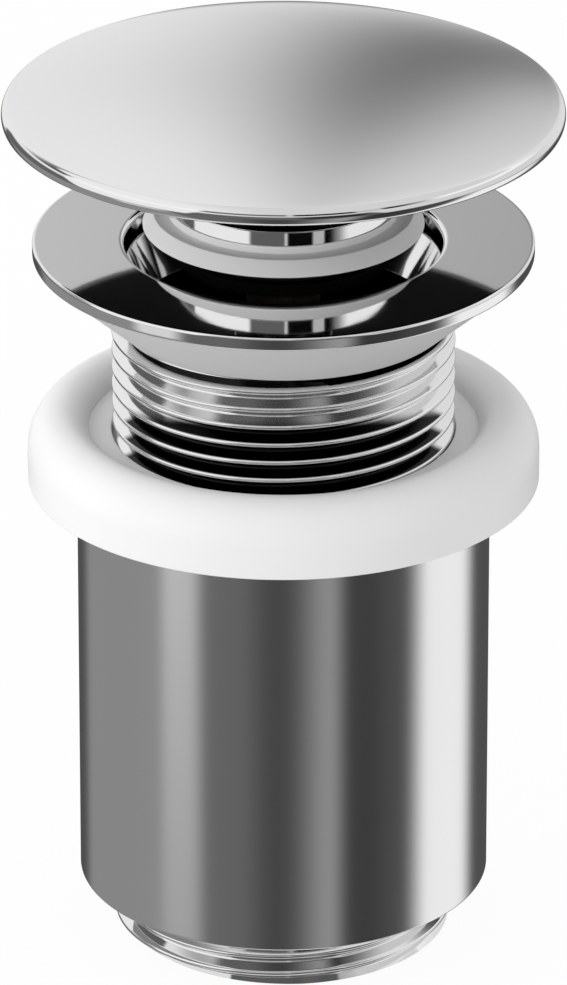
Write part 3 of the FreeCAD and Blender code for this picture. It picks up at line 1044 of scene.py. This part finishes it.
class WASTE_OT_flange(bpy.types.Operator):
    """Makes the flange with its closing seat, its neck and the tail's screw thread"""

    bl_idname = "waste.flange"
    bl_label = "Flange and tail"

    def execute(self, context):
        radius = radius_of("flange_body")
        top = top_of("flange_body")
        low = base_of("flange_body")
        socket = radius_of("cartridge_carrier")
        ledge = top_of("cartridge_carrier")
        under = top - FLANGE_RIM
        neck_end = base_of("flange_seal")
        bore = THREAD_ROOT - TAIL_WALL
        mouth = bore + LIP_STEP
        thread_top = neck_end - NECK_GROOVE

        def limit(z):
            above = THREAD_CREST - TAIL_CHAMFER + z - low
            below = THREAD_CREST - TAIL_TOP_CHAMFER + thread_top - z
            return min(THREAD_CREST, above, below)

        def thread(a):
            return thread_points(a, low, thread_top, limit)

        section = Section(socket, low).line(socket, ledge).line(bore, ledge)
        section.line(bore, top - SEAT_BOTTOM_DROP, SEAT_ROUNDING)
        section.line(mouth, top - SEAT_TOP_DROP, SEAT_ROUNDING).line(mouth, top, LIP_ROUNDING)
        section.line(radius, top, FLANGE_ROUNDING).line(radius, under, FLANGE_ROUNDING)
        section.line(NECK_RADIUS, under).line(NECK_RADIUS, neck_end)
        section.line(THREAD_ROOT, neck_end).line(THREAD_ROOT, thread_top)
        piece = turned("flange_and_tail", section.points(), thread)
        material = screwed_chrome("screwed_chrome", thread_top)
        stand_in(piece, material, "waste_body", "flange_body")
        return {"FINISHED"}


class WASTE_OT_cone_seal(bpy.types.Operator):
    """Makes the grey cone that seals under the flange"""

    bl_idname = "waste.cone_seal"
    bl_label = "Cone seal"

    def execute(self, context):
        radius = radius_of("flange_seal")
        top = top_of("flange_seal")
        low = base_of("flange_seal")
        section = Section(NECK_RADIUS, top).line(NECK_RADIUS, low)
        section.line(NECK_RADIUS + CONE_SEAL_LIP, low)
        section.line(radius, top - CONE_SEAL_LIP).line(radius, top)
        piece = turned("cone_seal", section.points())
        material = rubber("seal_grey", finishes().grey_rubber, roughness=0.55, grain=0.008 * MM)
        stand_in(piece, material, "waste_body", "flange_seal")
        return {"FINISHED"}


class WASTE_OT_gasket(bpy.types.Operator):
    """Makes the thick white gasket with its full rounded shoulder"""

    bl_idname = "waste.gasket"
    bl_label = "Gasket"

    def execute(self, context):
        radius = radius_of("lower_gasket")
        low = base_of("lower_gasket")
        crest = top_of("lower_gasket")
        bore = THREAD_CREST + STACK_BORE_GAP
        land = low + GASKET_LAND_HEIGHT
        section = Section(bore, low, GASKET_ROUNDING).line(radius, low, GASKET_ROUNDING)
        section.line(radius, low + sizes().gasket_wall)
        section.swell(GASKET_CREST_RADIUS, crest, (radius, crest))
        section.swell(GASKET_LAND_RADIUS, land, (GASKET_LAND_RADIUS, crest))
        section.line(bore, land, GASKET_ROUNDING)
        piece = turned("gasket", section.points())
        material = rubber(
            "seal_white", finishes().white_rubber, WHITE_RUBBER_ROUGHNESS, WHITE_RUBBER_GRAIN
        )
        stand_in(piece, material, "clamp_stack", "lower_gasket")
        return {"FINISHED"}


class WASTE_OT_sleeve(bpy.types.Operator):
    """Makes the sleeve: its socket, its wide cup and the screwed outlet"""

    bl_idname = "waste.sleeve"
    bl_label = "Sleeve and outlet"

    def execute(self, context):
        radius = radius_of("tail_sleeve")
        top = top_of("tail_sleeve")
        low = OUTLET_LENGTH
        thread_top = low - OUTLET_UNDERCUT
        socket = THREAD_CREST + SOCKET_SLACK
        cup = radius - SLEEVE_WALL
        bore = THREAD_ROOT - OUTLET_WALL
        cup_end = top - SOCKET_LENGTH

        def limit(z):
            above = THREAD_CREST - OUTLET_CHAMFER + z
            below = THREAD_ROOT + OUTLET_RUNOUT_SLOPE * (thread_top - z)
            return min(THREAD_CREST, above, below)

        def thread(a):
            return thread_points(a, 0.0, thread_top, limit)

        section = Section(bore, 0.0, SLEEVE_ROUNDING).line(bore, OUTLET_BORE_LENGTH)
        section.line(cup, OUTLET_BORE_LENGTH + cup - bore, CUP_ROUNDING)
        section.line(cup, cup_end - (cup - socket), SOCKET_ROUNDING).line(socket, cup_end)
        section.line(socket, top).line(radius, top, SLEEVE_ROUNDING)
        section.line(radius, low, SLEEVE_ROUNDING).line(THREAD_ROOT, low)
        section.line(THREAD_ROOT, thread_top)
        piece = turned("sleeve", section.points(), thread)
        stand_in(piece, drawn_chrome("drawn_chrome"), "sleeve", "tail_sleeve")
        return {"FINISHED"}


class WASTE_OT_core(bpy.types.Operator):
    """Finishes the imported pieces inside: cartridge, stem, spring, carrier and washers"""

    bl_idname = "waste.core"
    bl_label = "Cartridge and fastenings"

    def execute(self, context):
        colours = finishes()
        dark = colours.moulding_colour
        made = {
            "brass": turned_metal("turned_brass", colours.brass_colour, roughness=0.28),
            "steel": turned_metal("turned_steel", colours.steel_colour, roughness=0.3),
            "blackened": turned_metal("blackened_steel", dark, roughness=0.45),
            "acetal": moulded_plastic(
                "white_moulding", colours.acetal_colour, roughness=0.32, grain=0.004 * MM
            ),
            "moulding": moulded_plastic(
                "dark_moulding", dark, roughness=0.5, grain=0.01 * MM, shine=0.03
            ),
            "black_rubber": rubber(
                "seal_black", colours.black_rubber, roughness=0.6, grain=0.01 * MM
            ),
            "fibre": pressed_fibre("pressed_fibre", colours.fibre_colour),
        }
        for name, nodes in CORE_FINISHES.items():
            dress(made[name], nodes)
        return {"FINISHED"}


# The stage


def panels_seen(shader, bearing, wall, panels):
    """What stands round the object at one level: panels in front of a wall."""
    light = wall
    for shown, *edges in panels:
        light = between(light, shown, shader.band(bearing, *edges))
    return light


def studio_below(shader, bearing, level):
    """What the chrome sees low down: panels, a bright strip and a dark streak."""
    light = panels_seen(shader, bearing, WALL_BELOW, PANELS_BELOW)
    shown, *edges = STRIP_BELOW
    strip = shader.band(bearing, *edges) * shader.fade(level, *STRIP_LEVEL)
    light = between(light, shown, strip)
    light = between(light, WALL_ABOVE, shader.fade(level, *WALL_LEVEL))
    shown, *edges = STREAK_BELOW
    streak = shader.band(bearing, *edges) * shader.fade(level, *STREAK_LEVEL)
    return between(light, shown, streak)


def wall_behind(shader, behind, level):
    """The wall behind the object, with its soft shades."""
    light = between(BACK_LEFT, BACK_RIGHT, shader.fade(behind, *BACK_BEARING))
    for depth, middle, height, width, rise in SHADES:
        aside = (behind - middle) / width
        higher = (level - height) / rise
        light = light - depth * (-(aside * aside + higher * higher)).exp()
    return light


def surroundings(shader):
    """How light the studio is in each direction that the chrome mirrors."""
    across, along, up = shader.axes("Generated")
    level = up.degrees_from((across * across + along * along) ** 0.5)
    bearing = across.degrees_from(-along)
    below = studio_below(shader, bearing, level)
    above = panels_seen(shader, bearing, WALL_ABOVE, PANELS_ABOVE)
    ceiling = between(CEILING_RIGHT, CEILING_LEFT, shader.fade(across, *CEILING_ACROSS))
    above = between(ceiling, above, shader.fade(level, *PANELS_LEVEL))
    at_back = shader.fade(abs(bearing), *BACK_START)
    above = between(above, wall_behind(shader, across.degrees_from(along), level), at_back)
    above = between(above, ceiling, shader.fade(level - BACK_RISE * at_back, *CEILING_LEVEL))
    lower = shader.band(bearing, *LOW_LEFT) + shader.fade(bearing, *LOW_RIGHT)
    lower = lower + shader.fade(bearing, *LOW_BACK)
    light = between(below, above, shader.fade(level + CHANGE_DROP * lower, *CHANGE_LEVEL))
    return between(light, FLOOR_LIGHT, shader.fade(level, *FLOOR_LEVEL))


class WASTE_OT_stage(bpy.types.Operator):
    """Makes the studio: what the chrome mirrors, the pale floor, the lamps and the camera"""

    bl_idname = "waste.stage"
    bl_label = "Studio"

    def execute(self, context):
        self.make_world()
        self.make_floor()
        self.make_lamps()
        self.make_camera()
        bpy.context.scene.view_settings.view_transform = "Standard"
        return {"FINISHED"}

    def make_world(self):
        world = bpy.data.worlds.new("studio")
        bpy.context.scene.world = world
        shader = Shader(world)
        mirrored = (surroundings(shader) ** SCREEN_GAMMA) / finishes().chrome_colour[1]
        room, mirror, backdrop = (
            shader.node("ShaderNodeBackground", None, {"Color": WHITE, "Strength": strength})
            for strength in (studio().daylight, mirrored, 1.0)
        )
        mixed = shader.mix_shaders(shader.ray("Is Glossy Ray"), room, mirror)
        mixed = shader.mix_shaders(shader.ray("Is Camera Ray"), mixed, backdrop)
        shader.node("ShaderNodeOutputWorld", None, {"Surface": mixed})

    def make_floor(self):
        shape = bmesh.new()
        bmesh.ops.create_circle(shape, cap_ends=True, radius=FLOOR_RADIUS, segments=FLOOR_SIDES)
        floor = linked_object("floor", shape)
        floor.location.z = -FLOOR_DROP
        shader = new_finish("pale_floor")
        cloud = shader.noise(*FLOOR_CLOUD)
        colour = shader.mottle(cloud, studio().floor_colour, *FLOOR_SHADES)
        matt = shader.node("ShaderNodeBsdfDiffuse", None, {"Color": colour})
        glow = shader.node("ShaderNodeEmission", None, {"Color": WHITE, "Strength": 1.0})
        clear = shader.node("ShaderNodeBsdfTransparent")
        mixed = shader.mix_shaders(FLOOR_WHITE * shader.ray("Is Camera Ray"), matt, glow)
        mixed = shader.mix_shaders(shader.ray("Is Glossy Ray"), mixed, clear)
        shader.node("ShaderNodeOutputMaterial", None, {"Surface": mixed})
        floor.data.materials.append(shader.owner)

    def make_lamps(self):
        centre = Vector((0.0, 0.0, studio().aim_height))
        for name, power, spot in LAMPS:
            lamp = bpy.data.lights.new(name, "AREA")
            lamp.shape = "DISK"
            lamp.size = LAMP_WIDTH
            lamp.energy = getattr(studio(), power)
            stand = bpy.data.objects.new(name, lamp)
            stand.location = spot
            stand.rotation_euler = (centre - Vector(spot)).to_track_quat("-Z", "Y").to_euler()
            stand.visible_camera = False
            stand.visible_glossy = False
            bpy.context.scene.collection.objects.link(stand)

    def make_camera(self):
        values = studio()
        camera = bpy.data.cameras.new("camera")
        camera.sensor_width = FILM_WIDTH
        camera.lens = values.lens
        camera.clip_start = CLIP_START
        camera.clip_end = CLIP_END
        stand = bpy.data.objects.new("camera", camera)
        away = values.distance * math.cos(values.elevation)
        up = values.aim_height + values.distance * math.sin(values.elevation)
        stand.location = (0.0, -away, up)
        stand.rotation_euler = (0.25 * TURN - values.elevation, 0.0, 0.0)
        bpy.context.scene.collection.objects.link(stand)
        bpy.context.scene.camera = stand


class WASTE_PT_sidebar(bpy.types.Panel):
    """Lists the steps and the values that they use"""

    bl_label = "Basin waste"
    bl_idname = "WASTE_PT_sidebar"
    bl_space_type = "VIEW_3D"
    bl_region_type = "UI"
    bl_category = "Basin waste"

    def draw(self, context):
        for group in (sizes(), finishes(), studio()):
            box = self.layout.box()
            for name in group.bl_rna.properties.keys():
                if name not in ("rna_type", "name"):
                    box.prop(group, name)
        for operator in OPERATORS:
            self.layout.operator(operator.bl_idname)


GROUPS = (
    ("waste_sizes", WasteSizes),
    ("waste_finishes", WasteFinishes),
    ("waste_studio", WasteStudio),
)
OPERATORS = (
    WASTE_OT_stage,
    WASTE_OT_cap,
    WASTE_OT_collar,
    WASTE_OT_seal_ring,
    WASTE_OT_flange,
    WASTE_OT_cone_seal,
    WASTE_OT_gasket,
    WASTE_OT_sleeve,
    WASTE_OT_core,
)


def register():
    for name, group in GROUPS:
        bpy.utils.register_class(group)
        setattr(bpy.types.Scene, name, PointerProperty(type=group))
    for operator in OPERATORS:
        bpy.utils.register_class(operator)
    bpy.utils.register_class(WASTE_PT_sidebar)


def unregister():
    bpy.utils.unregister_class(WASTE_PT_sidebar)
    for operator in reversed(OPERATORS):
        bpy.utils.unregister_class(operator)
    for name, group in reversed(GROUPS):
        delattr(bpy.types.Scene, name)
        bpy.utils.unregister_class(group)


def main():
    register()
    bpy.ops.waste.stage()
    bpy.ops.waste.cap()
    bpy.ops.waste.collar()
    bpy.ops.waste.seal_ring()
    bpy.ops.waste.flange()
    bpy.ops.waste.cone_seal()
    bpy.ops.waste.gasket()
    bpy.ops.waste.sleeve()
    bpy.ops.waste.core()


if __name__ == "__main__":
    main()
